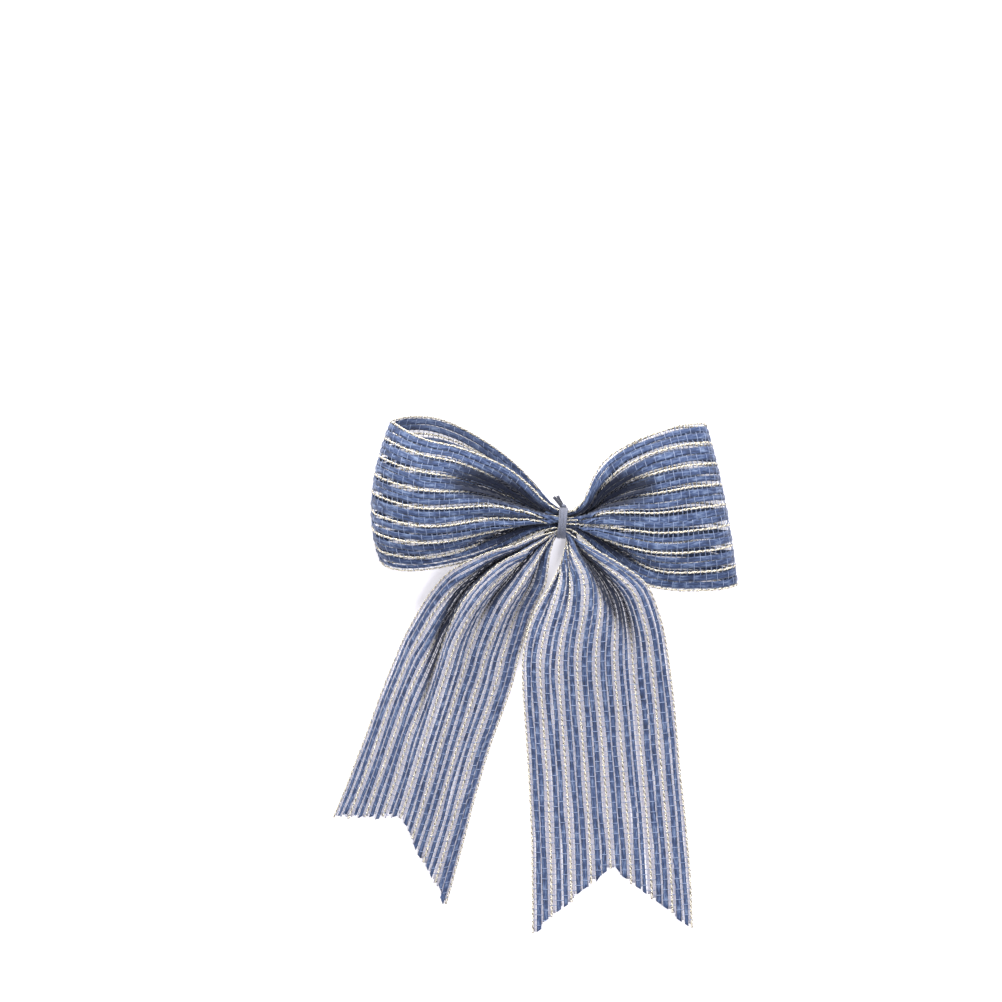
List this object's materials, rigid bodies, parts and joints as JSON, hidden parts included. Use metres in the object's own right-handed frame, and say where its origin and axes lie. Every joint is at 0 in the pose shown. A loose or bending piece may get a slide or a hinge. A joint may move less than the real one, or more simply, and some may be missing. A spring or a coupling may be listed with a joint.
{
  "type": "pre-made gift bow",
  "caption": "Flat pre-made bow of open-weave striped ribbon with round-bellied loops and notched tails, gathered and tied at the waist with yarn.",
  "frame": {"origin": "the underside of the tie at the waist, where the bow is fixed to a gift", "axes": "+Z out of the bow's front, +Y from the tie towards the tops of the loops, +X towards the right loop"},
  "size_m": [0.1547, 0.1983, 0.0243],
  "materials": {
    "ribbon": "open plain weave of flat denim-blue fibre yarns and two-ply gold metallic threads on fine pale wefts",
    "tie_yarn": "soft matt slate yarn, slightly fuzzy",
    "tie_yarn_ends": "the same yarn at its cut ends, darker"
  },
  "bodies": {
    "waist": {"waist": "ribbon", "tie_winding": "tie_yarn", "tie_knot": "tie_yarn_ends"},
    "left_loop": {"left_loop": "ribbon"},
    "right_loop": {"right_loop": "ribbon"},
    "left_tail": {"left_tail": "ribbon"},
    "right_tail": {"right_tail": "ribbon"}
  },
  "joints": [
    {"name": "left_loop_fan", "type": "hinge", "parent": "waist", "child": "left_loop", "pos_m": [0, 0, 0], "axis": [0, 0, 1], "range_deg": [-12, 2]},
    {"name": "right_loop_fan", "type": "hinge", "parent": "waist", "child": "right_loop", "pos_m": [0, 0, 0], "axis": [0, 0, 1], "range_deg": [-2, 12]},
    {"name": "left_tail_fan", "type": "hinge", "parent": "waist", "child": "left_tail", "pos_m": [0, 0, 0], "axis": [0, 0, 1], "range_deg": [-4, 4]},
    {"name": "right_tail_fan", "type": "hinge", "parent": "waist", "child": "right_tail", "pos_m": [0, 0, 0], "axis": [0, 0, 1], "range_deg": [-4, 4]}
  ]
}
